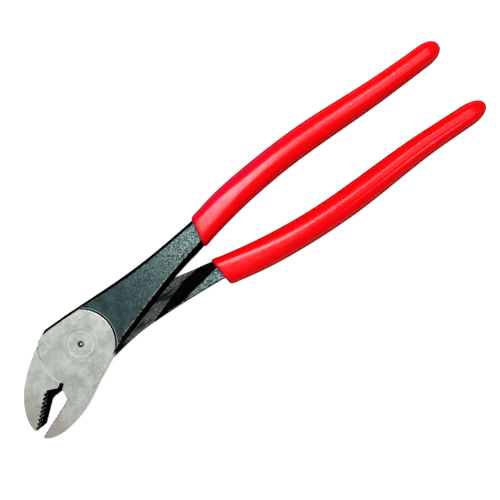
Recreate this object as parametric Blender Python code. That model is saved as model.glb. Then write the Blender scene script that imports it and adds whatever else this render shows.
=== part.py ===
"""Angle-nose gripping pliers lying on their back: two forged levers that cross in a lap joint,
one flush rivet through both, and a dipped vinyl grip on each handle.

The rivet's axis is Z, the handles run along +X and the back of the head lies on z = 0. Both jaws
point along the jaw axis, which leaves the rivet at JAW_ANGLE. Sizes are in millimetres and degrees,
and become metres only where a mesh is made.
"""

import math
from collections import namedtuple

import bmesh
import bpy

MM = 0.001

# Head and lap joint
HEAD_THICKNESS = 11.0
LAP_GAP = 0.3
JOINT_RADIUS = 15.6
JOINT_CLEARANCE = 0.3
CLOSING_ANGLE = 4.0
BOSS_RADIUS = 12.25
BOSS_STEP = 0.6
BOSS_CHAMFER = 0.8
BOSS_END_ANGLE = 80.0
HUB_NECK_ANGLE = 45.0
HUB_CORNER_ANGLE = 14.0
FRONT_HUB_EDGE = 12.3
FRONT_HUB_RADIUS = 12.2
REAR_HUB_EDGE = 11.8
REAR_HUB_RADIUS = 11.4
FORGING_DRAFT = 1.5

# Jaws: distances along the jaw axis from the rivet, and square to that axis
JAW_ANGLE = 210.6
THROAT_LENGTH = 4.6
WEB_KNEE_SHARE = 0.45
WEB_BEND_TEETH = 3
WEB_BEND = ((0.84, 0.9), (0.64, 0.55))
WEB_PROUD = 0.15
TOOTH_PITCH = 1.5
TOOTH_DEPTH = 0.75
TOOTH_LAND = 1.05
NOSE_TAPER_LENGTH = 12.0
NOSE_TIP_THICKNESS = 9.8
FRONT_JAW_LENGTH = 36.95
FRONT_JAW_WIDTH = 11.1
FRONT_JAW_SHOULDER = 15.0
FRONT_JAW_WRAP = 0.0
FRONT_JAW_DRAFT = 1.5
FRONT_THROAT_HALF = 3.55
FRONT_TIP_HALF = 1.0
FRONT_WEB_ROOT = 0.2
REAR_JAW_LENGTH = 36.0
REAR_JAW_WIDTH = 14.2
REAR_JAW_SHOULDER = 9.0
REAR_JAW_WRAP = 15.0
REAR_JAW_DRAFT = 0.0
REAR_THROAT_HALF = 4.5
REAR_TIP_HALF = 1.75
REAR_WEB_ROOT = -0.5

# Necks, up to the mouths of the grips
NECK_INNER_ROOT = 8.0
NECK_INNER_ROOT_X = 13.6
CROTCH_X = 41.5
NECK_INNER_MOUTH = 3.0
NECK_MOUTH_X = 55.5
FRONT_NECK_WAIST = 11.5
FRONT_NECK_WAIST_X = 28.0
FRONT_NECK_MOUTH = 13.3
REAR_NECK_WAIST = 9.05
REAR_NECK_WAIST_X = 22.0
REAR_NECK_MOUTH = 10.8
RAMP_START_X = 24.5
RAMP_ANGLE = 42.0
RAMP_CLEARANCE = 0.3
RAMP_END_SHARE = 0.25

# Handles and grips: shares run along the handle, from 0 at the mouth to 1 at the end
HANDLE_END_X = 171.4
HANDLE_MOUTH_OFFSET = 7.9
HANDLE_SWEEP = 2.13
HANDLE_BOW_SHARE = 0.46
HANDLE_BOW_OFFSET = 14.3
HANDLE_WAIST_SHARE = 0.76
HANDLE_WAIST_OFFSET = 13.4
HANDLE_END_OFFSET = 13.9
TANG_END_THICKNESS = 5.2
GRIP_GAP = 0.25
GRIP_WALL = 1.1
GRIP_MOUTH_WIDTH = 11.3
GRIP_BOW_WIDTH = 10.3
GRIP_END_WIDTH = 7.8
GRIP_TAPER_START = 0.42
GRIP_TAPER_END = 0.97
GRIP_END_THICKNESS = 9.0
GRIP_MOUTH_SQUARENESS = 3.6
GRIP_END_SQUARENESS = 2.5
GRIP_SLANT_SHARE = 0.16
GRIP_NOSE_END_ANGLE = 82.0
GRIP_LIP = 0.5
FRONT_MOUTH_X = 57.6
FRONT_MOUTH_SLANT = 10.6
FRONT_NOSE_LENGTH = 6.6
REAR_MOUTH_X = 56.3
REAR_MOUTH_SLANT = 2.0
REAR_NOSE_LENGTH = 8.0

# Rivet
RIVET_HEAD_RADIUS = 4.9
RIVET_SHANK_RADIUS = 4.1
RIVET_HEAD_DEPTH = 1.3
RIVET_CLEARANCE = 0.3
DIMPLE_RADIUS = 1.1
DIMPLE_DEPTH = 0.8

# Finishes: colour, roughness and metallic
DARK_STEEL = ((0.045, 0.055, 0.058), 0.45, 0.9)
BRIGHT_STEEL = ((0.42, 0.43, 0.41), 0.35, 1.0)
RED_VINYL = ((0.62, 0.012, 0.022), 0.25, 0.0)

# Fineness of the meshes
ARC_STEP = 5.0
TURNED_SIDES = 64
JAW_BACK_STEPS = 24
EDGE_STEPS = 36
GRIP_SIDES = 32
GRIP_STEPS = 24
GRIP_NOSE_RINGS = 5
SHARP_ANGLE = 30.0

MID = HEAD_THICKNESS / 2
THROAT_X = JOINT_RADIUS + THROAT_LENGTH
SHOULDER_RADIUS = JOINT_RADIUS + JOINT_CLEARANCE
CUT_MARGIN = HEAD_THICKNESS
FLATNESS = math.radians(0.01)
STRAIGHT = (0.0, 0.0)

Lever = namedtuple(
    "Lever",
    "name side jaw_length jaw_width jaw_shoulder jaw_wrap jaw_draft throat_half tip_half web_root"
    " hub_edge hub_radius mouth_x slant nose_length",
)
FRONT = Lever(
    "front_lever",
    1,
    FRONT_JAW_LENGTH,
    FRONT_JAW_WIDTH,
    FRONT_JAW_SHOULDER,
    FRONT_JAW_WRAP,
    FRONT_JAW_DRAFT,
    FRONT_THROAT_HALF,
    FRONT_TIP_HALF,
    FRONT_WEB_ROOT,
    FRONT_HUB_EDGE,
    FRONT_HUB_RADIUS,
    FRONT_MOUTH_X,
    FRONT_MOUTH_SLANT,
    FRONT_NOSE_LENGTH,
)
REAR = Lever(
    "rear_lever",
    -1,
    REAR_JAW_LENGTH,
    REAR_JAW_WIDTH,
    REAR_JAW_SHOULDER,
    REAR_JAW_WRAP,
    REAR_JAW_DRAFT,
    REAR_THROAT_HALF,
    REAR_TIP_HALF,
    REAR_WEB_ROOT,
    REAR_HUB_EDGE,
    REAR_HUB_RADIUS,
    REAR_MOUTH_X,
    REAR_MOUTH_SLANT,
    REAR_NOSE_LENGTH,
)


def clear_scene():
    for obj in list(bpy.data.objects):
        bpy.data.objects.remove(obj, do_unlink=True)


def loft(name, rings):
    """One closed mesh through rings of equal length, with a flat cap on the first and the last."""
    mesh_builder = bmesh.new()
    loops = [[mesh_builder.verts.new([c * MM for c in point]) for point in ring] for ring in rings]
    for low, high in zip(loops, loops[1:]):
        for i, corner in enumerate(low):
            mesh_builder.faces.new((low[i - 1], corner, high[i], high[i - 1]))
    mesh_builder.faces.new(loops[0])
    mesh_builder.faces.new(loops[-1])
    bmesh.ops.connect_verts_nonplanar(mesh_builder, angle_limit=FLATNESS, faces=mesh_builder.faces)
    bmesh.ops.recalc_face_normals(mesh_builder, faces=mesh_builder.faces)
    mesh = bpy.data.meshes.new(name)
    mesh_builder.to_mesh(mesh)
    mesh_builder.free()
    obj = bpy.data.objects.new(name, mesh)
    bpy.context.scene.collection.objects.link(obj)
    return obj


def prism(name, outline, z_low, z_high):
    """An upright prism on a flat outline."""
    return loft(name, [[(x, y, z) for x, y in outline] for z in (z_low, z_high)])


def turned(name, profile):
    """A solid of revolution about Z from a profile of (radius, height) pairs."""
    rings = []
    for radius, z in profile:
        circle = arc(radius, 0, 360, 360 / TURNED_SIDES)[:-1]
        rings.append([(x, y, z) for x, y in circle])
    return loft(name, rings)


def cut(target, cutter):
    """Takes the cutter out of the target with a live Boolean, and hides the cutter from the result."""
    cutter.hide_render = True
    cutter.display_type = "WIRE"
    boolean = target.modifiers.new(cutter.name, "BOOLEAN")
    boolean.operation = "DIFFERENCE"
    boolean.solver = "EXACT"
    boolean.object = cutter


def finish(obj, look):
    """Gives a piece its own material and smooth shading between sharp edges."""
    colour, roughness, metallic = look
    material = bpy.data.materials.new(obj.name)
    material.use_nodes = True
    shader = material.node_tree.nodes["Principled BSDF"]
    shader.inputs["Base Color"].default_value = (*colour, 1.0)
    shader.inputs["Roughness"].default_value = roughness
    shader.inputs["Metallic"].default_value = metallic
    obj.data.materials.append(material)
    obj.data.shade_smooth()
    obj.data.set_sharp_from_angle(angle=math.radians(SHARP_ANGLE))


def arc(radius, start, end, step=ARC_STEP):
    """Points on a circle about the rivet, both ends included."""
    steps = max(1, math.ceil(abs(end - start) / step))
    angles = [math.radians(start + (end - start) * i / steps) for i in range(steps + 1)]
    return [(radius * math.cos(a), radius * math.sin(a)) for a in angles]


def ease(value, start, end):
    """0 before start, 1 after end, and a smooth S between them."""
    t = min(1.0, max(0.0, (value - start) / (end - start)))
    return t * t * (3 - 2 * t)


def mix(first, second, share):
    return first + (second - first) * share


def curve(stations):
    """A smooth function through (x, value) stations that never overshoots between them."""
    xs, values = zip(*stations)
    steps = [b - a for a, b in zip(xs, xs[1:])]
    slopes = [(b - a) / step for a, b, step in zip(values, values[1:], steps)]
    tangents = [slopes[0]]
    for before, after in zip(slopes, slopes[1:]):
        tangents.append(2 * before * after / (before + after) if before * after > 0 else 0.0)
    tangents.append(slopes[-1])

    def value(x):
        i = next((k for k in range(len(steps) - 1) if x < xs[k + 1]), len(steps) - 1)
        t = (x - xs[i]) / steps[i]
        if t > 1:
            return values[i + 1] + tangents[i + 1] * (x - xs[i + 1])
        t = max(t, 0.0)
        rise = ease(t, 0, 1)
        lead = t * (1 - t) ** 2 * tangents[i]
        trail = t * t * (1 - t) * tangents[i + 1]
        return mix(values[i], values[i + 1], rise) + steps[i] * (lead - trail)

    return value


# Handles: where they run, and how wide and thick they are

NOSE_X = HANDLE_END_X - max(FRONT_NOSE_LENGTH, REAR_NOSE_LENGTH)
TANG_END_X = NOSE_X + GRIP_WALL
HANDLE_LENGTH = HANDLE_END_X - NECK_MOUTH_X


def along_handle(share):
    return NECK_MOUTH_X + share * HANDLE_LENGTH


def handle_share(x):
    return (x - NECK_MOUTH_X) / HANDLE_LENGTH


def handle_line(x):
    """The handle's middle, out from the centre line: a sweep to the bow, then a waist and a flared end."""
    share = handle_share(x)
    left = max(0.0, 1 - max(0.0, share) / HANDLE_BOW_SHARE)
    offset = mix(HANDLE_BOW_OFFSET, HANDLE_MOUTH_OFFSET, left**HANDLE_SWEEP)
    offset += (HANDLE_WAIST_OFFSET - HANDLE_BOW_OFFSET) * ease(share, HANDLE_BOW_SHARE, HANDLE_WAIST_SHARE)
    return offset + (HANDLE_END_OFFSET - HANDLE_WAIST_OFFSET) * ease(share, HANDLE_WAIST_SHARE, 1.0)


def grip_width(x):
    share = handle_share(x)
    near = mix(GRIP_MOUTH_WIDTH, GRIP_BOW_WIDTH, ease(share, 0.0, GRIP_TAPER_START))
    return mix(near, GRIP_END_WIDTH, ease(share, GRIP_TAPER_START, GRIP_TAPER_END))


def grip_thickness(x):
    share = ease(handle_share(x), HANDLE_BOW_SHARE, GRIP_TAPER_END)
    return mix(HEAD_THICKNESS, GRIP_END_THICKNESS, share)


def tang_edge(x, direction):
    """The steel's edge inside the grip, on the outer (1) or the inner (-1) side of the handle."""
    return handle_line(x) + direction * (grip_width(x) / 2 - GRIP_WALL)


EDGE_XS = [mix(0.0, TANG_END_X, i / EDGE_STEPS) for i in range(EDGE_STEPS + 1)]
TANG_STATIONS = [x for x in EDGE_XS if x > along_handle(GRIP_SLANT_SHARE / 2)][::2]
inner_edge = curve(
    [(NECK_INNER_ROOT_X, -NECK_INNER_ROOT), (CROTCH_X, 0.0), (NECK_MOUTH_X, NECK_INNER_MOUTH)]
    + [(x, tang_edge(x, -1)) for x in TANG_STATIONS]
)
front_outer_edge = curve(
    [(0.0, FRONT_HUB_EDGE), (FRONT_NECK_WAIST_X, FRONT_NECK_WAIST), (NECK_MOUTH_X, FRONT_NECK_MOUTH)]
    + [(x, tang_edge(x, 1)) for x in TANG_STATIONS]
)
rear_outer_edge = curve(
    [(0.0, REAR_HUB_EDGE), (REAR_NECK_WAIST_X, REAR_NECK_WAIST), (NECK_MOUTH_X, REAR_NECK_MOUTH)]
    + [(x, tang_edge(x, 1)) for x in TANG_STATIONS]
)


def outer_edge(lever):
    return front_outer_edge if lever.side > 0 else rear_outer_edge


def neck_front(x):
    """Height of the neck's front face: one plane from the foot of the boss to the end of the tang."""
    start = HEAD_THICKNESS - BOSS_STEP
    end = MID + TANG_END_THICKNESS / 2
    return mix(start, end, (x - BOSS_RADIUS) / (TANG_END_X - BOSS_RADIUS))


def flipped(z):
    """The same height measured from the back of the head."""
    return HEAD_THICKNESS - z


def forging(name, outline, front, grow=0.0):
    """A drafted bar on an outline of (x, y, front_lean, back_lean), widest on the parting plane.

    Each lean is how far, and which way, that point moves from there to the head's front or back.
    """

    def ring(height, face):
        points = []
        for x, y, *leans in outline:
            z = height(x)
            share = abs(z - MID) / MID
            out_x, out_y = leans[face]
            length = math.hypot(out_x, out_y) or 1.0
            shift = share - grow / length
            points.append((x + out_x * shift, y + out_y * shift, z))
        return points

    back = ring(lambda x: flipped(front(x) + grow), 1)
    return loft(name, [back, ring(lambda x: MID, 0), ring(lambda x: front(x) + grow, 0)])


# Jaws

def jaw_point(lever, u, v):
    """u along the jaw axis from the rivet, v square to it on the lever's own side."""
    angle = math.radians(JAW_ANGLE)
    v *= lever.side
    return (u * math.cos(angle) - v * math.sin(angle), u * math.sin(angle) + v * math.cos(angle))


def teeth(lever):
    """The toothed edge in jaw coordinates: throat corner, plain land, then ridges and roots to the tip."""
    first, tip = THROAT_X + TOOTH_LAND, lever.jaw_length - TOOTH_PITCH / 2
    count = round((tip - first) / TOOTH_PITCH)
    points = [(THROAT_X, lever.throat_half)]
    for i in range(2 * count + 1):
        u = mix(first, tip, i / (2 * count))
        v = mix(lever.throat_half, lever.tip_half, (u - THROAT_X) / (tip - THROAT_X))
        points.append((u, v + TOOTH_DEPTH * (i % 2)))
    return points


def jaw_back(lever):
    """The jaw's convex outer side as outline points: an ellipse from its shoulder to near the tip."""
    reach = lever.jaw_length - lever.jaw_shoulder
    first = math.radians(90 + lever.jaw_wrap)
    last = math.asin((lever.tip_half + TOOTH_PITCH / 2) / lever.jaw_width)
    points = []
    for i in range(JAW_BACK_STEPS + 1):
        a = mix(first, last, i / JAW_BACK_STEPS)
        place = jaw_point(lever, lever.jaw_shoulder + reach * math.cos(a), lever.jaw_width * math.sin(a))
        inwards = jaw_point(lever, 0.0, -lever.jaw_draft * math.sin(a))
        points.append((*place, STRAIGHT, inwards))
    return points


def jaw_front(lever):
    """The jaw's inner edge in jaw coordinates, from the tip to its own half of the lap.

    The front lever's teeth run all through. The rear lever's web stands proud of its teeth, which are
    cut later in the other half, and bends away to the lap.
    """
    edge = teeth(lever)
    if lever.side > 0:
        knee = (JOINT_RADIUS + WEB_KNEE_SHARE * THROAT_LENGTH, lever.web_root + JOINT_CLEARANCE)
        return edge[::-1] + [knee]
    ridges = edge[1::2]
    tip, bend = [(u, v - WEB_PROUD) for u, v in (ridges[-1], ridges[WEB_BEND_TEETH])]
    root = (math.sqrt(JOINT_RADIUS**2 - lever.web_root**2), lever.web_root)
    return [tip, bend] + [(mix(root[0], bend[0], s), mix(root[1], bend[1], t)) for s, t in WEB_BEND]


def pocket_setback(lever, other):
    """How far the throat stands back so that the other lever's web clears it with the jaws closed."""
    swing = SHOULDER_RADIUS * math.sin(math.radians(CLOSING_ANGLE))
    return swing + JOINT_CLEARANCE - other.web_root


# Rivet

def rivet_profile():
    """The rivet's outer side, from the back face to the front face."""
    return [
        (RIVET_HEAD_RADIUS, 0.0),
        (RIVET_SHANK_RADIUS, RIVET_HEAD_DEPTH),
        (RIVET_SHANK_RADIUS, HEAD_THICKNESS - RIVET_HEAD_DEPTH),
        (RIVET_HEAD_RADIUS, HEAD_THICKNESS),
    ]


def make_rivet():
    dimple = [(DIMPLE_RADIUS, HEAD_THICKNESS), (DIMPLE_RADIUS / 4, HEAD_THICKNESS - DIMPLE_DEPTH)]
    rivet = turned("joint_rivet", rivet_profile() + dimple)
    finish(rivet, BRIGHT_STEEL)


# Levers

def upright(points):
    """Outline points whose sides stand square to the faces."""
    return [(x, y, STRAIGHT, STRAIGHT) for x, y in points]


def drafted(lever, x, y, direction):
    """An outline point on a forged edge, on the outer (1) or the inner (-1) side of the handle."""
    lean = (0.0, -lever.side * direction * FORGING_DRAFT)
    return (x, lever.side * y, lean, lean)


def handle_edges(lever, xs):
    """The outer edge along these stations, and back along the inner edge as far as the hub."""
    outer = outer_edge(lever)
    there = [drafted(lever, x, outer(x), 1) for x in xs]
    return there + [drafted(lever, x, inner_edge(x), -1) for x in reversed(xs) if x > NECK_INNER_ROOT_X]


def hub_jaw_angle(lever):
    """Where the hub's round runs into the back of the jaw."""
    return JAW_ANGLE - 270 if lever.side > 0 else JAW_ANGLE - 90


def lever_outline(lever):
    """The lever seen from the front: outer edge, tang, inner edge, hub, jaw and its half of the lap."""
    side = lever.side
    hub_start = math.sqrt(JOINT_RADIUS**2 - lever.hub_edge**2)
    outline = [drafted(lever, -hub_start, lever.hub_edge, 1)]
    outline += handle_edges(lever, EDGE_XS)
    hub = arc(lever.hub_radius, -side * HUB_NECK_ANGLE, hub_jaw_angle(lever))
    throat = [jaw_point(lever, u, v) for u, v in jaw_front(lever)]
    web_angle = JAW_ANGLE + side * math.degrees(math.asin(lever.web_root / JOINT_RADIUS))
    corner_angle = math.degrees(math.asin(lever.hub_edge / JOINT_RADIUS)) - HUB_CORNER_ANGLE
    lap = arc(JOINT_RADIUS, web_angle, 180 - side * corner_angle)
    return outline + upright(hub) + jaw_back(lever) + upright(throat + lap)


def lap_heights(lever):
    """The half of the head that the lever gives up to the other one, from the lap face outwards."""
    if lever.side > 0:
        return MID + LAP_GAP / 2, -CUT_MARGIN
    return MID - LAP_GAP / 2, HEAD_THICKNESS + CUT_MARGIN


def cut_lap(body, lever):
    low, high = lap_heights(lever)
    cut(body, prism(lever.name + "_lap_cut", arc(SHOULDER_RADIUS, 0, 360)[:-1], low, high))


def closed_inner_edge(x):
    """The other lever's inner edge with the jaws closed, seen from this one, with clearance."""
    angle = math.radians(CLOSING_ANGLE)
    return x * math.sin(angle) - inner_edge(x) * math.cos(angle) + RAMP_CLEARANCE


def cut_ramp(body, lever):
    """Cuts the neck back to the lap face, with a ramp that climbs from there to the lever's far face."""
    side = lever.side
    low, high = lap_heights(lever)
    run = abs(high - low) / math.tan(math.radians(RAMP_ANGLE))
    end_x = along_handle(RAMP_END_SHARE)
    rise = closed_inner_edge(CROTCH_X) - closed_inner_edge(NECK_MOUTH_X)
    end_y = closed_inner_edge(NECK_MOUTH_X) - rise * (end_x - NECK_MOUTH_X) / (NECK_MOUTH_X - CROTCH_X)
    foot = [
        (RAMP_START_X, outer_edge(lever)(RAMP_START_X)),
        (CROTCH_X, closed_inner_edge(CROTCH_X)),
        (NECK_MOUTH_X, closed_inner_edge(NECK_MOUTH_X)),
        (end_x, end_y),
    ]
    hub_x = JOINT_RADIUS / 2
    far = [(end_x, -HANDLE_END_OFFSET), (hub_x, -HANDLE_END_OFFSET), (hub_x, HANDLE_END_OFFSET)]
    near = [(RAMP_START_X, HANDLE_END_OFFSET)]
    bottom = [(x, side * y, low) for x, y in near + foot + far]
    top = [(x, side * (y + run), high) for x, y in near + foot] + [(x, side * y, high) for x, y in far]
    cut(body, loft(lever.name + "_ramp_cut", [bottom, top]))


def cut_throat(body, lever, other):
    """Opens the throat on the half of the jaw that faces the other lever's web, with the rear jaw's teeth."""
    low, high = lap_heights(lever)
    setback = pocket_setback(lever, other)
    inside = JOINT_RADIUS - THROAT_LENGTH / 2
    edge = [(inside, setback), (JOINT_RADIUS + THROAT_LENGTH / 2, setback)]
    edge += teeth(lever)[:1]
    if lever.side < 0:
        edge += teeth(lever)[1:] + [(lever.jaw_length + TOOTH_PITCH, lever.tip_half)]
    clear = -lever.throat_half
    outline = [jaw_point(lever, u, v) for u, v in edge + [(edge[-1][0], clear), (inside, clear)]]
    cut(body, prism(lever.name + "_throat_cut", outline, low, high))


def cut_reliefs(body, lever):
    """Lowers the neck and handle below the ground boss, on both faces."""
    side = lever.side
    reach = HANDLE_END_X + CUT_MARGIN
    wide = 2 * HANDLE_END_OFFSET
    around = [(0.0, wide), (reach, wide), (reach, -wide), (BOSS_RADIUS, -wide)]
    around = [(x, side * y) for x, y in around]
    foot = arc(BOSS_RADIUS + BOSS_CHAMFER, -side * HUB_NECK_ANGLE, side * BOSS_END_ANGLE) + around
    above = arc(BOSS_RADIUS - BOSS_CHAMFER, -side * HUB_NECK_ANGLE, side * BOSS_END_ANGLE) + around
    top = HEAD_THICKNESS + BOSS_STEP
    rings = [[(x, y, neck_front(x)) for x, y in foot], [(x, y, top) for x, y in above]]
    cut(body, loft(lever.name + "_front_relief", rings))
    rings = [[(x, y, flipped(z)) for x, y, z in ring] for ring in rings]
    cut(body, loft(lever.name + "_back_relief", rings))


def cut_nose(body, lever):
    """Tapers the nose in thickness, evenly on both faces."""
    start = lever.jaw_length - NOSE_TAPER_LENGTH
    drop = (HEAD_THICKNESS - NOSE_TIP_THICKNESS) / 2
    end = lever.jaw_length + NOSE_TAPER_LENGTH
    end_drop = drop * (end - start) / NOSE_TAPER_LENGTH
    profile = [(start, 0.0), (end, end_drop), (end, -CUT_MARGIN), (start, -CUT_MARGIN)]
    for face in ("front", "back"):
        rings = []
        for v in (-lever.jaw_width, 2 * lever.jaw_width):
            ring = []
            for u, depth in profile:
                x, y = jaw_point(lever, u, v)
                ring.append((x, y, HEAD_THICKNESS - depth if face == "front" else depth))
            rings.append(ring)
        cut(body, loft(f"{lever.name}_{face}_nose", rings))


def cut_bore(body, lever):
    """The countersunk rivet hole, a clearance wider than the rivet all along."""
    profile = [(radius + RIVET_CLEARANCE, z) for radius, z in rivet_profile()]
    radius = profile[0][0]
    profile = [(radius, -CUT_MARGIN)] + profile + [(radius, HEAD_THICKNESS + CUT_MARGIN)]
    cut(body, turned(lever.name + "_bore", profile))


def make_lever(lever, other):
    body = forging(lever.name, lever_outline(lever), lambda x: HEAD_THICKNESS)
    cut_lap(body, lever)
    cut_ramp(body, lever)
    cut_throat(body, lever, other)
    cut_reliefs(body, lever)
    cut_nose(body, lever)
    cut_bore(body, lever)
    finish(body, DARK_STEEL)
    return body


# Grips

def grip_section(lever, x, scale):
    """One boxy-round section of the grip, sheared at the mouth so that the mouth lies on a slant."""
    share = handle_share(x)
    power = 2 / mix(GRIP_MOUTH_SQUARENESS, GRIP_END_SQUARENESS, ease(share, 0.0, GRIP_TAPER_END))
    lean = math.tan(math.radians(lever.slant)) * (1 - ease(share, 0.0, GRIP_SLANT_SHARE))
    ring = []
    for i in range(GRIP_SIDES):
        angle = 2 * math.pi * i / GRIP_SIDES
        c, s = math.cos(angle), math.sin(angle)
        across = math.copysign(abs(c) ** power, c) * scale * grip_width(x) / 2
        up = math.copysign(abs(s) ** power, s) * scale * grip_thickness(x) / 2
        ring.append((x + lean * across, lever.side * (handle_line(x) + across), MID + up))
    return ring


def grip_stations(lever):
    """(x, scale) pairs along the grip: a rounded lip, the handle, and a round nose."""
    lip = [(lever.mouth_x + GRIP_LIP * (1 - math.sin(a)), a) for a in (math.pi / 2, math.pi / 4)]
    stations = [(x, 1 - GRIP_LIP * math.sin(a) ** 2 / GRIP_MOUTH_WIDTH * 2) for x, a in lip]
    start = lever.mouth_x + GRIP_LIP
    stations += [(mix(start, NOSE_X, i / GRIP_STEPS), 1.0) for i in range(GRIP_STEPS + 1)]
    for i in range(GRIP_NOSE_RINGS):
        a = math.radians(GRIP_NOSE_END_ANGLE * (i + 1) / GRIP_NOSE_RINGS)
        stations.append((NOSE_X + lever.nose_length * math.sin(a), math.cos(a)))
    return stations


def tang_outline(lever):
    """The part of the lever that the grip is drawn over, from outside the mouth to a gap past the end."""
    xs = [x for x in EDGE_XS[:-1] if x > CROTCH_X] + [TANG_END_X + GRIP_GAP]
    return handle_edges(lever, xs)


def make_grip(lever):
    sections = [grip_section(lever, x, scale) for x, scale in grip_stations(lever)]
    grip = loft(lever.name + "_grip", sections)
    cut(grip, forging(lever.name + "_grip_cavity", tang_outline(lever), neck_front, GRIP_GAP))
    finish(grip, RED_VINYL)
    return grip


def main():
    clear_scene()
    make_lever(FRONT, REAR)
    make_grip(FRONT)
    make_rivet()
    pivot = bpy.data.objects.new("jaw_pivot", None)
    bpy.context.scene.collection.objects.link(pivot)
    for piece in (make_lever(REAR, FRONT), make_grip(REAR)):
        piece.parent = pivot


main()
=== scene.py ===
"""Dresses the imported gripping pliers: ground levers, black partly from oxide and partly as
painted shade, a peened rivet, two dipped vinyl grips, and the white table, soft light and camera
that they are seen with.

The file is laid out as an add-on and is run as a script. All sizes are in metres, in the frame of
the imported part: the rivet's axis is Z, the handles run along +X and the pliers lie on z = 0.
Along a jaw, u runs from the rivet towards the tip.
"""

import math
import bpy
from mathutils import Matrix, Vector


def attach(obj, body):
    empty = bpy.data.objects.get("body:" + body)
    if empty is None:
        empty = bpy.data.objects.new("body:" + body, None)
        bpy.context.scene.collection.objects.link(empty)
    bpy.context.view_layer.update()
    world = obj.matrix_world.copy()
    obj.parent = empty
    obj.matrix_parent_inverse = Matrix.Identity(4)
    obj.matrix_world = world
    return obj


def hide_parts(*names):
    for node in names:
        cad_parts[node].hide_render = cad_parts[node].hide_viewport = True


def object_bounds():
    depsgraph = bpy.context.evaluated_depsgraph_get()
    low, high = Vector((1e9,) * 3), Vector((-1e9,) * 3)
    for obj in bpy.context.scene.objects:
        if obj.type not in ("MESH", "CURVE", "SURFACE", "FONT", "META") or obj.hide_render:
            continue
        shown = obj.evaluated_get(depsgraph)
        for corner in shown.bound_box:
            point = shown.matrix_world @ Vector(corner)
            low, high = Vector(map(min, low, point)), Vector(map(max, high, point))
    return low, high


bl_info = {
    "name": "Gripping pliers",
    "version": (1, 0, 0),
    "blender": (4, 5, 0),
    "location": "3D View > Sidebar > Pliers",
    "description": "Dresses the packed pliers with their steel, rivet, dipped grips and studio",
    "category": "Object",
}

import bpy
import numpy as np
from bpy.props import FloatProperty, FloatVectorProperty, PointerProperty
from bpy.types import Operator, Panel, PropertyGroup

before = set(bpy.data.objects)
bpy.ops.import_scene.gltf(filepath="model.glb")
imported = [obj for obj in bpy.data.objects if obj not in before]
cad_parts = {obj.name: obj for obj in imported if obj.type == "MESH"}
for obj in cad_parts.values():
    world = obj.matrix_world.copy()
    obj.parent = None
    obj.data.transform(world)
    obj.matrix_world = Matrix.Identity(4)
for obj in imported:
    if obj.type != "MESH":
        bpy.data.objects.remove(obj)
CAD_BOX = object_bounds()

MM = 0.001

# The head and its jaws
HEAD_THICKNESS = CAD_BOX[1].z
MID = HEAD_THICKNESS / 2
JAW_ANGLE = math.radians(210.6)
ALONG_JAW = (math.cos(JAW_ANGLE), math.sin(JAW_ANGLE), 0.0)
ACROSS_JAW = (-math.sin(JAW_ANGLE), math.cos(JAW_ANGLE), 0.0)

# The levers' skin: what is joined, what counts as flat or sharp, and which edges move
JOIN_DISTANCE = 0.06 * MM
FLAT_ANGLE = math.radians(0.4)
SHARP_ANGLE = math.radians(28)
ROUND_SEGMENTS = 2
EDGE_SLOT = 1
SHOULDER_RADIUS = 15.9 * MM
SHOULDER_MARGIN = 0.08 * MM
SHOULDER_START = 5.0 * MM
JOINT_PLAY = 0.22 * MM
NECK_LEVEL = 7.5 * MM
NECK_START = 13.3 * MM
NECK_DIVIDE, NECK_DIVIDE_SLOPE = -10.0 * MM, 0.1
FRONT_LOWER_X = (13.7 * MM, 57.0 * MM)
FRONT_LOWER_MOVE = (0.3 * MM, 1.1 * MM)
FRONT_UPPER_MOVE = -0.3 * MM
REAR_LOWER_MOVE, REAR_LOWER_LOOK = -0.6 * MM, -0.2

# The handles' line and taper, in shares of the handle's length
BOW = 0.46
WAIST = 0.76
SWEEP = 2.13
TAPER = (0.42, 0.97)
SLANT_SHARE = 0.16

# Half the steel's thickness inside the grips, at two places along x
TANG_FOOT, TANG_FOOT_X = 4.9 * MM, 12.4 * MM
TANG_END, TANG_END_X = 2.6 * MM, 164.5 * MM

# The grips' skin: how many sections and points, then its shape in shares of the handle's length
GRIP_AROUND = 160
CAVITY_SECTIONS, LIP_SECTIONS, OUTER_SECTIONS, NOSE_SECTIONS = 40, 10, 110, 15
NOSE_END_ANGLE = math.radians(86)
FACE_CROWDING = 0.25
BEAD_PLACE, BEAD_SPREAD = 1.6 * MM, 1.1 * MM
MOUTH_SQUARE, BODY_SQUARE, CAVITY_SQUARE, SQUARE_SHARE = 3.3, 2.45, 8.0, (0.0, 0.3)
MOUTH_FLAT, BOW_FLAT, FLAT_SHARE, FACET_SHARE = 0.42, 0.06, (0.0, 0.25), (0.45, 0.75)
MOUTH_CREASE, BOW_CREASE, CREASE_SHARE = 0.02, 0.004, (0.05, 0.25)
END_CREASE, END_CREASE_SHARE = 0.01, (0.5, 0.7)
SEAM_PLACE, SEAM_SPREAD = 0.2, 0.085
SEAM_START_SHARE, SEAM_END_SHARE = (0.25, 0.5), (0.84, 0.96)
PLUMP_OUT, DRAW_SHARE, INSET_SHARE = 0.7, (0.1, 0.3), (0.72, 0.95)
# Where the painted shade over the lip fades out, past the mouth
LIP_SHADE_BAND = (0.45 * MM, 0.95 * MM)
LIP_SHADE = "rim"

# How the rear grip differs from the front one, whose values are the defaults
REAR_GRIP = {
    "mouth": 56.1 * MM,
    "slant": math.radians(4.5),
    "nose": 8.0 * MM,
    "draw": 0.0,
    "inset": -0.15 * MM,
    "facet": 0.28,
    "rib": -0.085 * MM,
}

# The rivet's skin
RIVET_AROUND = 96
RIVET_CHAMFER = 0.06 * MM
RIVET_DISH = 0.02 * MM
RIVET_SHARP = math.radians(35)
BOWL_STEPS, BOWL_TURN = 9, 0.92

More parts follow.
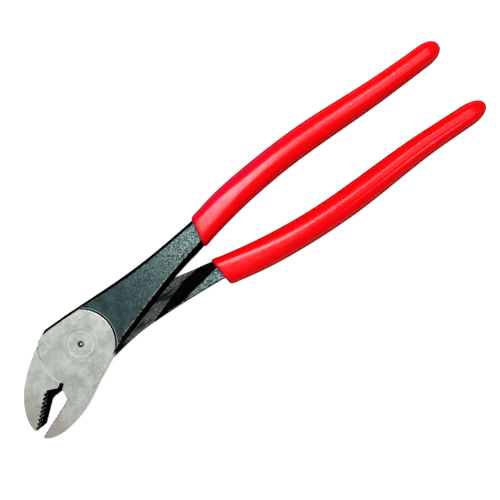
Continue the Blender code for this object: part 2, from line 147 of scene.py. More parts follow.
# The stage: each lamp's width and height, place and aim, then the table and the camera
LAMPS = {
    "key": ((0.12, 0.20), (0.10, 0.14, 0.56), (0.10, 0.14, 0.0)),
    "middle": ((0.24, 0.075), (0.28, 0.13, 0.56), (0.28, 0.13, 0.0)),
    "far": ((0.26, 0.35), (0.41, 0.075, 0.58), (0.41, 0.075, 0.0)),
    "head": ((0.44, 0.50), (-0.31, 0.04, 0.60), (0.0, 0.0, 0.0)),
}
TABLE_REACH, TABLE_POINTS, TABLE_HEIGHT = 1.5, 5, -0.02 * MM
CAMERA_PLACE = (69.4 * MM, -7.8 * MM, 220.5 * MM)
CAMERA_TURN = math.radians(-35.5)
CAMERA_CLIP = (0.005, 10.0)
SENSOR_WIDTH = 36.0
WHITE = (1.0, 1.0, 1.0)


# Settings


def length(label, words, metres):
    """A length that a user may change."""
    return FloatProperty(
        name=label, description=words, default=metres, unit="LENGTH", precision=5
    )


def share(label, words, value):
    """A plain number from 0 to 1 that a user may change."""
    return FloatProperty(
        name=label, description=words, default=value, min=0.0, max=1.0, subtype="FACTOR"
    )


def power(label, words, watts):
    """A lamp's power that a user may change."""
    return FloatProperty(name=label, description=words, default=watts, unit="POWER")


def colour(label, words, value):
    """A linear colour that a user may change."""
    return FloatVectorProperty(
        name=label, description=words, default=value, subtype="COLOR", min=0.0, max=1.0
    )


class GripSizes(PropertyGroup):
    """Sizes that both dipped grips share."""

    start: length("Handle start", "Where the handles begin, from the rivet", 55.5 * MM)
    end: length("Handle end", "Where the longer grip ends, from the rivet", 171.4 * MM)
    nose_start: length("Nose start", "Where the rounded ends begin, from the rivet", 163.4 * MM)
    mouth_offset: length("Mouth offset", "Middle off the centre line at the mouth", 7.9 * MM)
    bow_offset: length("Bow offset", "Middle off the centre line at the bow", 14.3 * MM)
    waist_offset: length("Waist offset", "Middle off the centre line at the waist", 13.4 * MM)
    end_offset: length("End offset", "Middle off the centre line at the end", 13.9 * MM)
    mouth_width: length("Mouth width", "Grip's width at the mouth", 11.3 * MM)
    bow_width: length("Bow width", "Grip's width at the bow", 10.3 * MM)
    end_width: length("End width", "Grip's width before the rounded end", 7.8 * MM)
    end_thickness: length("End thickness", "Grip's thickness before the rounded end", 9.0 * MM)
    wall: length("Wall", "Vinyl's thickness over the sides of the steel", 1.1 * MM)
    gap: length("Gap", "Room between the vinyl and the steel", 0.25 * MM)
    lip: length("Lip", "Length of the rounded lip at the mouth", 0.95 * MM)
    bead: length("Bead", "How far the vinyl swells just behind the mouth", 0.12 * MM)
    plump: length("Plump", "How far the vinyl stands out on each side", 0.17 * MM)


class GripMouth(PropertyGroup):
    """Where one grip begins, how it leans and how its end is shaped."""

    mouth: length("Mouth", "Where the grip begins, from the rivet", 57.6 * MM)
    slant: FloatProperty(
        name="Slant",
        description="How far the mouth leans",
        default=math.radians(10.6),
        subtype="ANGLE",
    )
    nose: length("Nose", "Length of the rounded end", 6.6 * MM)
    draw: length("Draw", "How far the grip stands in from the handle's middle", 0.2 * MM)
    inset: length("Inset", "How far the end of the grip leans in", 0.22 * MM)
    facet: share("Facet", "How much the flat widens towards the end, as a share of the width", 0.13)
    rib: length("Rib", "Height of the seam on the front face, or its depth if below zero", 0.0)


class VinylFinish(PropertyGroup):
    """The dipped vinyl's look."""

    red: colour("Red", "Vinyl in full light", (0.97, 0.0005, 0.003))
    # Painted shading: a darker, bluer red for the front grip's outer side near its root, where the
    # faces look towards +y
    shaded_red: colour("Crimson", "Vinyl where the dip is thicker", (0.85, 0.0008, 0.032))
    # Painted shade: a darker red over the lip at each grip's mouth
    rim: colour("Rim", "Thin vinyl at the mouths over dark steel", (0.36, 0.0005, 0.02))
    roughness: share("Roughness", "Least roughness of the vinyl", 0.16)


class SteelFinish(PropertyGroup):
    """The levers' and the rivet's look."""

    ground: colour("Ground steel", "Ground faces of the head", (0.415, 0.447, 0.402))
    tip: colour("Tip", "Heat tint on the noses of the jaws", (0.40, 0.352, 0.31))
    oxide: colour("Oxide", "Dark oxide on the necks near the head", (0.012, 0.045, 0.048))
    dull: colour("Dull oxide", "Rubbed oxide near the grips", (0.52, 0.76, 0.74))
    # Near-black: partly the oxide's own colour, partly painted shade on the steep sides, the
    # teeth's walls and the ramps, which turn from the light
    black: colour("Black", "Unground sides, teeth and ramps", (0.0016, 0.0018, 0.0018))
    lap: colour("Lap", "Rubbing faces of the lap joint", (0.06, 0.068, 0.067))
    # Partly steel rubbed through the oxide on edges, partly painted highlight where edges catch the
    # light
    wear_and_glint: colour("Worn edge", "Bare steel on rubbed edges", (0.6, 0.63, 0.6))
    # The rear jaw's throat edge: polish, with a painted highlight
    polish_and_glint: colour("Bare edge", "Polished edge of the rear jaw's throat", (0.93, 0.95, 0.93))
    edge: length("Edge round", "Width of the round on the levers' edges", 0.24 * MM)


class RivetSizes(PropertyGroup):
    """The flush rivet."""

    head: length("Head radius", "Radius of the heads, which fill their countersinks", 5.24 * MM)
    shank: length("Shank radius", "Radius of the rivet between its heads", 4.1 * MM)
    depth: length("Head depth", "Depth of each countersunk head", 1.3 * MM)
    dimple: length("Dimple radius", "Radius of the punch mark", 1.1 * MM)
    punch: length("Dimple depth", "Depth of the punch mark", 0.8 * MM)


class StageSettings(PropertyGroup):
    """Table, light and camera."""

    table: colour("Table", "Colour of the table in other light", (0.3, 0.3, 0.3))
    glow: share("Table glow", "How white the table looks where no light falls", 0.92)
    key: power("Key light", "Watts of the soft light above the grips' mouths", 1.85)
    middle: power("Middle light", "Watts of the narrow light above the middle of the grips", 0.72)
    head: power("Head light", "Watts of the broad soft light beyond the head", 0.86)
    far: power("Far light", "Watts of the dim soft light above the handles' ends", 0.58)
    sky: share("Sky", "Strength of the even light from all sides", 0.1)
    lens: FloatProperty(
        name="Lens", description="Focal length on a 36 mm sensor", default=41.84, unit="CAMERA"
    )


# Meshes


def ease(value, start, end):
    """0 before start, 1 after end and the cubic 3t^2 - 2t^3 between them."""
    t = np.clip((value - start) / (end - start), 0.0, 1.0)
    return t * t * (3 - 2 * t)


def mix(first, second, part):
    """The value that lies this part of the way from first to second."""
    return first + (second - first) * part


def add_object(name, data):
    """A new object in the scene, at the origin."""
    made = bpy.data.objects.new(name, data)
    bpy.context.scene.collection.objects.link(made)
    return made


def ring_mesh(name, rings, first_pole, last_pole):
    """A closed skin over rings[i, j], i along the piece and j round it, with a point at each end.

    Neighbours in i and j make quads, j wraps round, and a fan of triangles joins each end ring to
    its pole.
    """
    count, around = rings.shape[:2]
    points = np.concatenate([rings.reshape(-1, 3), [first_pole, last_pole]])
    index = np.arange(count * around).reshape(count, around)
    beside = np.roll(index, -1, axis=1)
    quads = np.stack([index[:-1], beside[:-1], beside[1:], index[1:]], axis=-1).reshape(-1, 4)
    poles = np.full(around, count * around)
    start = np.stack([beside[0], index[0], poles], axis=-1)
    finish = np.stack([index[-1], beside[-1], poles + 1], axis=-1)
    mesh = bpy.data.meshes.new(name)
    mesh.from_pydata(points, [], quads.tolist() + start.tolist() + finish.tolist())
    mesh.shade_smooth()
    return add_object(name, mesh)


def outward(piece):
    """Turns a closed skin's faces out: its volume, the sum of a . (b x c) / 6, is positive."""
    mesh = piece.data
    mesh.calc_loop_triangles()
    corners = np.empty(len(mesh.loop_triangles) * 3, np.int32)
    mesh.loop_triangles.foreach_get("vertices", corners)
    points = np.empty(len(mesh.vertices) * 3, np.float32)
    mesh.vertices.foreach_get("co", points)
    a, b, c = np.moveaxis(points.reshape(-1, 3)[corners.reshape(-1, 3)], 1, 0)
    if np.einsum("ij,ij->", a, np.cross(b, c)) < 0:
        mesh.flip_normals()


# Grips


def handle_share(sizes, x):
    """How far along the handle x lies: 0 at its start and 1 at its end."""
    return (x - sizes.start) / (sizes.end - sizes.start)


def handle_line(sizes, x):
    """The handle's middle: the offset nears the bow as (1 - s)^2.13, with s the share of the way
    there, then eases to the waist and out to the end.
    """
    part = handle_share(sizes, x)
    left = np.clip(1 - np.maximum(part, 0.0) / BOW, 0.0, 1.0)
    offset = mix(sizes.bow_offset, sizes.mouth_offset, left**SWEEP)
    offset = offset + (sizes.waist_offset - sizes.bow_offset) * ease(part, BOW, WAIST)
    return offset + (sizes.end_offset - sizes.waist_offset) * ease(part, WAIST, 1.0)


def grip_half_width(sizes, x):
    """Half the grip's width, eased from the mouth to the bow and from there to the end."""
    part = handle_share(sizes, x)
    near = mix(sizes.mouth_width, sizes.bow_width, ease(part, 0.0, TAPER[0]))
    return mix(near, sizes.end_width, ease(part, *TAPER)) / 2


def grip_half_thickness(sizes, x):
    """Half the grip's thickness, eased down towards the end."""
    down = ease(handle_share(sizes, x), BOW, TAPER[1])
    return mix(HEAD_THICKNESS, sizes.end_thickness, down) / 2


def tang_half_thickness(x):
    """Half the steel's thickness: a straight taper from the ground disc to the tang's end."""
    return mix(TANG_FOOT, TANG_END, (x - TANG_FOOT_X) / (TANG_END_X - TANG_FOOT_X))


def grip_stations(sizes, place, cavity_end):
    """Where the sections lie: x, how far each is inside the sleeve, and how the nose shrinks it.

    They run along the cavity to the mouth, round the lip as a half circle, and out to the nose,
    which shrinks as the cosine of an angle while x grows as its sine.
    """
    cavity = np.linspace(cavity_end, place.mouth + sizes.lip, CAVITY_SECTIONS)
    turn = np.linspace(0.0, math.pi, LIP_SECTIONS + 2)[1:-1]
    lip = place.mouth + sizes.lip * (1 - np.sin(turn))
    outer = np.linspace(place.mouth + sizes.lip, sizes.nose_start, OUTER_SECTIONS)
    angle = np.linspace(0.0, NOSE_END_ANGLE, NOSE_SECTIONS + 1)[1:]
    nose = sizes.nose_start + place.nose * np.sin(angle)
    x = np.concatenate([cavity, lip, outer, nose])
    outside = np.zeros(OUTER_SECTIONS + NOSE_SECTIONS)
    inside = np.concatenate([np.ones(CAVITY_SECTIONS), (1 + np.cos(turn)) / 2, outside])
    scale = np.concatenate([np.ones(len(x) - NOSE_SECTIONS), np.cos(angle)])
    return x, inside, scale


def grip_sizes(sizes, place, x, inside):
    """Half the width and half the thickness of each section, before the nose shrinks it.

    Outside, a bead d e^(-((x - m) / s)^2) behind the mouth and an even plumpness swell the width.
    Inside, both leave the wall or the steel with its gap.
    """
    from_bead = (x - place.mouth - BEAD_PLACE) / BEAD_SPREAD
    swell = sizes.bead * np.exp(-(from_bead**2)) * (1 - inside) + sizes.plump
    width = grip_half_width(sizes, x)
    half_width = mix(width + swell, width - sizes.wall + sizes.gap, inside)
    hollow = tang_half_thickness(x) + sizes.gap
    return half_width, mix(grip_half_thickness(sizes, x), hollow, inside)


def grip_rings(sizes, place, side):
    """The sleeve's skin as one run of sections, with its two poles and each point's share of the
    painted shade at the lip.

    Each section is |y/w|^p + |z/h|^p = 1 with its own half sizes w and h and squareness p, leant by
    the mouth's slant and moved out to the handle's middle. A soft minimum of a and 1,
    -k ln(e^(-a/k) + e^(-1/k)), presses a flat of a given share of the width on both faces: wide at
    the mouth, a line at the bow, and wider again near the end. A seam h e^(-((t - m) / s)^2), with
    t the share of the half width, runs along the front face.
    """
    cavity_end = sizes.nose_start + sizes.wall + sizes.gap
    x, inside, scale = grip_stations(sizes, place, cavity_end)
    part = handle_share(sizes, x)
    half_width, half_thickness = (
        half[:, None] for half in np.multiply(grip_sizes(sizes, place, x, inside), scale)
    )
    squareness = mix(MOUTH_SQUARE, BODY_SQUARE, ease(part, *SQUARE_SHARE))
    squareness = mix(squareness, CAVITY_SQUARE, inside)
    flat_share = mix(MOUTH_FLAT, BOW_FLAT, ease(part, *FLAT_SHARE))
    flat_share = flat_share + place.facet * ease(part, *FACET_SHARE)
    flat = (1 - flat_share**squareness) ** (1 / squareness)
    flat = mix(flat, 1.0, inside)[:, None]
    crease = mix(MOUTH_CREASE, BOW_CREASE, ease(part, *CREASE_SHARE))
    crease = (crease + END_CREASE * ease(part, *END_CREASE_SHARE))[:, None]

    angle = np.linspace(0.0, 2 * math.pi, GRIP_AROUND, endpoint=False)
    angle = angle + FACE_CROWDING * np.sin(2 * angle)
    cosine, sine = np.cos(angle), np.sin(angle)
    rounding = 2 / squareness[:, None]
    across = np.sign(cosine) * np.abs(cosine) ** rounding * half_width
    up = np.abs(sine) ** rounding / flat
    up = -crease * np.log(np.exp(-up / crease) + np.exp(-1 / crease))
    up = np.sign(sine) * np.maximum(up, 0.0) * half_thickness
    seam = place.rib * ease(part, *SEAM_START_SHARE) * (1 - ease(part, *SEAM_END_SHARE))
    seam = (seam * (1 - inside))[:, None]
    from_seam = (across / half_width - SEAM_PLACE) / SEAM_SPREAD
    up = up + (sine > 0) * seam * np.exp(-(from_seam**2))

    lean = math.tan(place.slant) * (1 - ease(part, 0.0, SLANT_SHARE))[:, None]
    drawn_in = mix(-PLUMP_OUT * sizes.plump, place.draw, ease(part, *DRAW_SHARE))
    drawn_in = (drawn_in + place.inset * ease(part, *INSET_SHARE)) * (1 - inside)
    middle = side * (handle_line(sizes, x) - drawn_in)[:, None]
    rings = np.stack([x[:, None] + lean * across, middle + side * across, MID + up], axis=-1)
    tip = sizes.nose_start + place.nose
    ends = np.array([cavity_end, tip])
    offsets = side * (handle_line(sizes, ends) - (0.0, drawn_in[-1]))
    poles = [(end, offset, MID) for end, offset in zip(ends, offsets)]
    # Each point's share of the painted shade: full at the mouth's edge, none a little past it
    rim = np.repeat(1 - ease(x - place.mouth, *LIP_SHADE_BAND), GRIP_AROUND)
    return rings, poles, np.append(rim, np.zeros(len(poles)))


# Rivet


def rivet_rings(sizes):
    """A profile of (radius, height) turned about Z, with its two poles.

    It runs over the back head, the shank and the front head with a dished ring, and ends in a punch
    mark whose radius falls as the cosine of an angle while its depth grows as the sine.
    """
    head, top, chamfer = sizes.head, HEAD_THICKNESS, RIVET_CHAMFER
    dish = top - RIVET_DISH
    profile = [
        (head - 6 * chamfer, 0.0),
        (head - chamfer, 0.0),
        (head, chamfer),
        (sizes.shank, sizes.depth),
        (sizes.shank, top - sizes.depth),
        (head, top - chamfer),
        (head - chamfer, top),
        (head - 8 * chamfer, top),
        (head - 12 * chamfer, dish),
        (sizes.dimple + 10 * chamfer, dish),
        (sizes.dimple + 2 * chamfer, top),
    ]
    turn = np.linspace(0.0, math.pi / 2, BOWL_STEPS)
    bowl = [sizes.dimple * np.cos(turn * BOWL_TURN), top - sizes.punch * np.sin(turn)]
    profile = np.concatenate([profile, np.stack(bowl, axis=-1)])
    angle = np.linspace(0.0, 2 * math.pi, RIVET_AROUND, endpoint=False)
    radius, height = profile[:, 0, None], profile[:, 1, None]
    level = np.broadcast_to(height, (len(profile), RIVET_AROUND))
    rings = np.stack([radius * np.cos(angle), radius * np.sin(angle), level], axis=-1)
    return rings, [(0.0, 0.0, 0.0), (0.0, 0.0, top - sizes.punch)]


# Materials: places are in millimetres, and a band that falls fades its mask out

GROUND_METAL = 0.7
WHOLE_BAND = (0.0, 1.0)

# The Mix node's sockets for colours: factor, first and second, and its result
MIX_INPUTS, MIX_OUTPUT = (0, 6, 7), 2


def shade(tone, factor):
    """A colour made this many times as bright."""
    return [part * factor for part in tone]


class Look:
    """A node material under construction: each method adds nodes and gives back a socket."""

    def __init__(self, name):
        self.material = bpy.data.materials.new(name)
        self.material.use_nodes = True
        self.tree = self.material.node_tree
        self.shader = self.tree.nodes["Principled BSDF"]

    def node(self, kind, **settings):
        """A new shader node with these settings."""
        made = self.tree.nodes.new("ShaderNode" + kind)
        for key, value in settings.items():
            setattr(made, key, value)
        return made

    def feed(self, socket, value):
        """Links a socket to another one, or sets its own number, vector or colour."""
        if isinstance(value, bpy.types.NodeSocket):
            self.tree.links.new(value, socket)
        elif isinstance(socket.default_value, float):
            socket.default_value = value
        else:
            socket.default_value = (*value, 1.0)[: len(socket.default_value)]

    def set(self, **values):
        """Feeds the shader's inputs, named with underscores for spaces."""
        for name, value in values.items():
            self.feed(self.shader.inputs[name.replace("_", " ")], value)

    def place(self):
        """The point on the piece, in millimetres of the part's frame."""
        scaled = self.node("VectorMath", operation="SCALE")
        self.tree.links.new(self.node("TexCoord").outputs["Object"], scaled.inputs[0])
        scaled.inputs["Scale"].default_value = 1 / MM
        return scaled.outputs[0]

    def normal(self):
        """Which way the surface looks, in the part's frame."""
        return self.node("TexCoord").outputs["Normal"]

    def axis(self, vector, name):
        """One part of a vector: X, Y or Z."""
        parts = self.node("SeparateXYZ")
        self.feed(parts.inputs[0], vector)
        return parts.outputs[name]

    def along(self, vector, direction):
        """The dot product of a vector with a fixed direction."""
        dot = self.node("VectorMath", operation="DOT_PRODUCT")
        self.feed(dot.inputs[0], vector)
        dot.inputs[1].default_value = direction
        return dot.outputs["Value"]

    def radius(self, place):
        """The distance from the rivet's axis: the root of x^2 + y^2."""
        x, y = self.axis(place, "X"), self.axis(place, "Y")
        return self.math("SQRT", self.math("ADD", self.both(x, x), self.both(y, y)))

    def level(self, place):
        """The distance from the plane halfway through the head."""
        return self.math("ABSOLUTE", self.math("SUBTRACT", self.axis(place, "Z"), MID / MM))

    def stretched(self, vector, scale, turn=0.0):
        """The vector turned about Z and then scaled on each axis."""
        mapping = self.node("Mapping", vector_type="POINT")
        self.feed(mapping.inputs["Vector"], vector)
        mapping.inputs["Rotation"].default_value = (0.0, 0.0, turn)
        mapping.inputs["Scale"].default_value = scale
        return mapping.outputs[0]

    def math(self, operation, first, second=0.0):
        """One step of arithmetic."""
        made = self.node("Math", operation=operation)
        self.feed(made.inputs[0], first)
        self.feed(made.inputs[1], second)
        return made.outputs[0]

    def step(self, value, band, first=0.0, second=1.0):
        """first before the band, second after it, and a smooth S across it."""
        made = self.node("MapRange", interpolation_type="SMOOTHSTEP")
        self.feed(made.inputs["Value"], value)
        low, high = band
        ends = (low, high, first, second) if low < high else (high, low, second, first)
        for name, end in zip(("From Min", "From Max", "To Min", "To Max"), ends):
            made.inputs[name].default_value = end
        return made.outputs[0]

    def noise(self, vector, scale=1.0, detail=3.0, roughness=0.55):
        """Cloudy noise from 0 to 1."""
        made = self.node("TexNoise")
        self.feed(made.inputs["Vector"], vector)
        made.inputs["Scale"].default_value = scale
        made.inputs["Detail"].default_value = detail
        made.inputs["Roughness"].default_value = roughness
        return made.outputs["Fac"]

    def both(self, first, *others):
        """The product of masks: where all of them are."""
        for other in others:
            first = self.math("MULTIPLY", first, other)
        return first

    def either(self, first, *others):
        """The largest of masks: where any of them is."""
        for other in others:
            first = self.math("MAXIMUM", first, other)
        return first

    def unless(self, mask):
        """Where a mask is not."""
        return self.math("SUBTRACT", 1.0, mask)

    def blend(self, mask, first, second):
        """A colour, first where the mask is 0 and second where it is 1."""
        made = self.node("Mix", data_type="RGBA")
        for index, value in zip(MIX_INPUTS, (mask, first, second)):
            self.feed(made.inputs[index], value)
        return made.outputs[MIX_OUTPUT]

    def bump(self, height, strength, distance):
        """A normal that follows a fine relief."""
        made = self.node("Bump")
        self.feed(made.inputs["Height"], height)
        made.inputs["Strength"].default_value = strength
        made.inputs["Distance"].default_value = distance
        return made.outputs[0]


# Vinyl: where the painted shading on the front grip's root lies and fades, then the noises and the
# gloss
ROOT_X, ROOT_Y = (125.0, 80.0), (-2.0, 2.0)
SHADED_SIDE_BAND, DRIFT = (0.2, 0.9), 0.6
HAZE_BAND, HAZE = (0.3, 0.8), 0.1
DRAW_LINES = (0.02, 0.9, 0.9)
DRAW_RELIEF, PEEL_RELIEF = 0.7, 0.15
VINYL_GLOSS, VINYL_GLOSS_BAND = 0.25, (0.2, 0.6)
VINYL_TINT = (1.0, 0.8, 0.95)


def vinyl_look(name, finish):
    """Glossy dipped vinyl: slow drifts of colour, lengthwise draw lines and a fine orange peel.

    Near its root, the front grip's outer side, which faces +y, is given a darker, bluer red as
    painted shading.
    """
    look = Look(name)
    place = look.place()
    drift = look.math("MULTIPLY", look.noise(place, scale=0.045, detail=2.0), DRIFT)
    # Painted shading, laid by which way the face looks (+y), with a slow drift
    shaded_side = look.math("ADD", look.axis(look.normal(), "Y"), drift)
    root_x = look.step(look.axis(place, "X"), ROOT_X)
    root_y = look.step(look.axis(place, "Y"), ROOT_Y)
    shaded_side = look.both(look.step(shaded_side, SHADED_SIDE_BAND), root_x, root_y)
    skin = look.blend(shaded_side, finish.red[:], finish.shaded_red[:])
    # Painted shade over the lip at the mouth
    rim = look.node("Attribute", attribute_name=LIP_SHADE).outputs["Fac"]
    look.set(Base_Color=look.blend(rim, skin, finish.rim[:]))
    haze = look.noise(place, scale=0.35, detail=4.0)
    look.set(Roughness=look.step(haze, HAZE_BAND, finish.roughness, finish.roughness + HAZE))
    drawn = look.math("MULTIPLY", look.noise(look.stretched(place, DRAW_LINES)), DRAW_RELIEF)
    peel = look.math("MULTIPLY", look.noise(place, scale=1.6, detail=2.0), PEEL_RELIEF)
    relief = look.math("ADD", drawn, peel)
    look.set(Normal=look.bump(relief, strength=0.05, distance=0.6 * MM))
    # The export drops a linked specular level and keeps the socket's own, so both are given
    look.set(Specular_IOR_Level=VINYL_GLOSS, Specular_Tint=VINYL_TINT)
    facing = look.node("LayerWeight").outputs["Facing"]
    look.set(Specular_IOR_Level=look.step(facing, VINYL_GLOSS_BAND, VINYL_GLOSS, 0.0))
    return look.material


CLOUD_BAND, CLOUD_DARK, CLOUD_BRIGHT = (0.34, 0.66), 0.82, 1.17
FLECK_BAND, FLECK_PATCH_BAND = (0.5, 0.7), (0.42, 0.62)
FLECK_LEAST, FLECK_BRIGHT = 0.1, 1.4
SCRATCH_LINES, SCRATCH_BAND, SCRATCH_BRIGHT = (0.12, 2.6, 1.0), (0.58, 0.70), 1.35
SCRATCHES = ((0.6, 0.45), (-1.1, 0.35))


def ground_colour(look, place, finish):
    """Ground steel: cloudy patches, rubbed flecks and fine scratches two ways."""
    cloud = look.step(look.noise(place, scale=0.22, detail=5.0, roughness=0.62), CLOUD_BAND)
    dark, bright = shade(finish.ground, CLOUD_DARK), shade(finish.ground, CLOUD_BRIGHT)
    base = look.blend(cloud, dark, bright)
    flecks = look.step(look.noise(place, scale=1.3, roughness=0.7), FLECK_BAND)
    patches = look.noise(place, scale=0.14, detail=2.0)
    patches = look.step(patches, FLECK_PATCH_BAND, FLECK_LEAST)
    base = look.blend(look.both(flecks, patches), base, shade(finish.ground, FLECK_BRIGHT))
    for turn, strength in SCRATCHES:
        lines = look.noise(look.stretched(place, SCRATCH_LINES, turn), detail=2.0)
        lines = look.step(lines, SCRATCH_BAND, 0.0, strength)
        base = look.blend(lines, base, shade(finish.ground, SCRATCH_BRIGHT))
    return base


FACING_BAND, FULL_LEVEL = (0.6, 0.7), (5.36, 5.44)
NOSE_U, NOSE_LEVEL = (20.5, 21.5), (4.2, 4.4)
GROUND_SIDE_U, GROUND_SIDE_LOOK = (-2.0, -0.5), (0.1, 0.3)
LAP_FLAT, LAP_LEVEL, LAP_U = (0.95, 0.98), (0.6, 0.4), (6.0, 4.0)
RAMP_STEEP, RAMP_FLAT, RAMP_X = (0.2, 0.3), (0.97, 0.93), (19.0, 20.0)
NECK_FLAT, NECK_X = (0.9, 0.95), (9.0, 10.0)
RUBBED_X, RUBBED_LEAST, RUBBED_MOST = (18.0, 66.0), 0.05, 0.95
DUST_BAND, MOTTLE_BAND, OXIDE_DARK, OXIDE_BRIGHT = (0.42, 0.66), (0.36, 0.64), 0.5, 1.45
# Lap faces: a near-black share of their colour as painted shade, with lighter polished streaks
LAP_STREAKS, LAP_STREAK_TURN = (0.09, 0.5, 0.5), math.radians(15)
LAP_SPECKLE_BAND, LAP_STREAK_BAND, LAP_SHADE, LAP_BRIGHT = (0.35, 0.65), (0.42, 0.58), 0.15, 2.4
TINT_U, TINT_BAND, TINT_LEAST = (23.0, 35.0), (0.2, 0.6), 0.4
GROUND_BAND, OXIDE_ROUGHNESS, GROUND_ROUGHNESS = (0.2, 0.8), 0.6, 0.44
STEEL_GLOSS, SHEEN, SHEEN_BAND, SHEEN_STEEP = 0.2, 0.3, (0.25, 0.7), (0.35, 0.2)
SPECKLE_RELIEF, GROUND_RELIEF = 0.5, 0.25


def lever_look(name, finish, side):
    """One lever's steel, told apart by where a face lies and which way it looks.

    Faces at full height or on the nose, and the jaw's outer side, are ground. Flat faces at mid
    height are the lap, near-black as painted shade between lighter polished streaks. Slopes past
    the hub are the ramp, given the near-black as painted shade. Flat faces of the neck are mottled
    oxide, and the rest is a near-black that is partly the oxide's own colour and partly painted
    shade, as these steep faces turn from the light. A heat tint grows along the ground jaw towards
    its tip.
    """
    look = Look(name)
    place, normal = look.place(), look.normal()
    x, u, level = look.axis(place, "X"), look.along(place, ALONG_JAW), look.level(place)
    looks_out = look.along(normal, [side * part for part in ACROSS_JAW])
    flat = look.math("ABSOLUTE", look.axis(normal, "Z"))
    facing = look.step(flat, FACING_BAND)
    nose = look.both(look.step(u, NOSE_U), look.step(level, NOSE_LEVEL))
    ground_face = look.both(facing, look.either(look.step(level, FULL_LEVEL), nose))
    ground_side = look.both(look.step(u, GROUND_SIDE_U), look.step(looks_out, GROUND_SIDE_LOOK))
    ground = look.either(ground_face, look.both(look.unless(facing), ground_side))
    lap = look.both(look.step(flat, LAP_FLAT), look.step(level, LAP_LEVEL), look.step(u, LAP_U))
    ramp = look.both(look.step(flat, RAMP_STEEP), look.step(flat, RAMP_FLAT), look.step(x, RAMP_X))
    neck = look.both(look.step(flat, NECK_FLAT), look.step(x, NECK_X), look.unless(lap))

    speckle = look.noise(place, scale=1.9, roughness=0.7)
    mottle = look.noise(place, scale=0.3, detail=4.0, roughness=0.6)
    dark, bright = shade(finish.oxide, OXIDE_DARK), shade(finish.oxide, OXIDE_BRIGHT)
    slate = look.blend(look.step(mottle, MOTTLE_BAND), dark, bright)
    rubbed = look.step(x, RUBBED_X, RUBBED_LEAST, RUBBED_MOST)
    slate = look.blend(look.both(look.step(speckle, DUST_BAND), rubbed), slate, finish.dull[:])
    # Lap faces: near-black painted shade between lighter polished streaks
    streaks = look.noise(look.stretched(place, LAP_STREAKS, LAP_STREAK_TURN), detail=2.0)
    polish = look.both(look.step(speckle, LAP_SPECKLE_BAND), look.step(streaks, LAP_STREAK_BAND))
    lap_steel = look.blend(polish, shade(finish.lap, LAP_SHADE), shade(finish.lap, LAP_BRIGHT))
    tint = look.step(look.noise(place, scale=0.35, detail=2.0), TINT_BAND, TINT_LEAST)
    tint = look.both(look.step(u, TINT_U), tint)
    ground_steel = look.blend(tint, ground_colour(look, place, finish), finish.tip[:])

    # The steep sides and the teeth's walls get the near-black: oxide, darkened further as painted
    # shade
    base = look.blend(neck, finish.black[:], slate)
    base = look.blend(lap, base, lap_steel)
    # Painted shade: the ramp past the hub is given the near-black
    base = look.blend(ramp, base, finish.black[:])
    look.set(Base_Color=look.blend(ground, base, ground_steel))
    look.set(Metallic=look.step(ground, GROUND_BAND, 0.0, GROUND_METAL))
    look.set(Roughness=look.step(ground, GROUND_BAND, OXIDE_ROUGHNESS, GROUND_ROUGHNESS))
    sheen = look.step(look.node("LayerWeight").outputs["Facing"], SHEEN_BAND, SHEEN, 0.0)
    sheen = look.both(sheen, look.step(flat, SHEEN_STEEP))
    gloss = look.math("MULTIPLY", look.either(ground, neck), STEEL_GLOSS)
    # As on the vinyl, the export keeps the socket's own level
    look.set(Specular_IOR_Level=STEEL_GLOSS)
    look.set(Specular_IOR_Level=look.either(gloss, sheen))
    relief = look.math("ADD", look.math("MULTIPLY", speckle, SPECKLE_RELIEF), mottle)
    relief = look.both(relief, look.step(ground, GROUND_BAND, 1.0, GROUND_RELIEF))
    look.set(Normal=look.bump(relief, strength=0.3, distance=0.4 * MM))
    return look.material


# Edges: where the painted highlights and the rubbed steel go
EDGE_PATCH_BAND, JAW_U, RIM_LEVEL = (0.40, 0.56), (6.0, 9.0), (3.9, 4.3)
DASH_LOW, DASH_HIGH = (0.8, 1.6), (4.4, 3.6)
DISC_RADIUS, FOOT_START, FOOT_END, FOOT_GLINT = (12.95, 12.75), (12.85, 12.95), (13.35, 13.2), 0.5
FOOT_LEVEL, NECK_EDGE_LEVEL = (4.4, 4.6), (1.5, 2.2)
LOWER_LOOK, UPPER_LINE_SHARE = (0.2, -0.3), 0.12
THROAT_START, THROAT_END, THROAT_ACROSS = (11.0, 12.0), (21.5, 20.5), (-0.2, -0.5)
BORE_RADIUS = (6.5, 6.0)
EDGE_ROUGHNESS, WORN_ROUGHNESS, WORN_GLOSS = 0.55, 0.46, 0.5


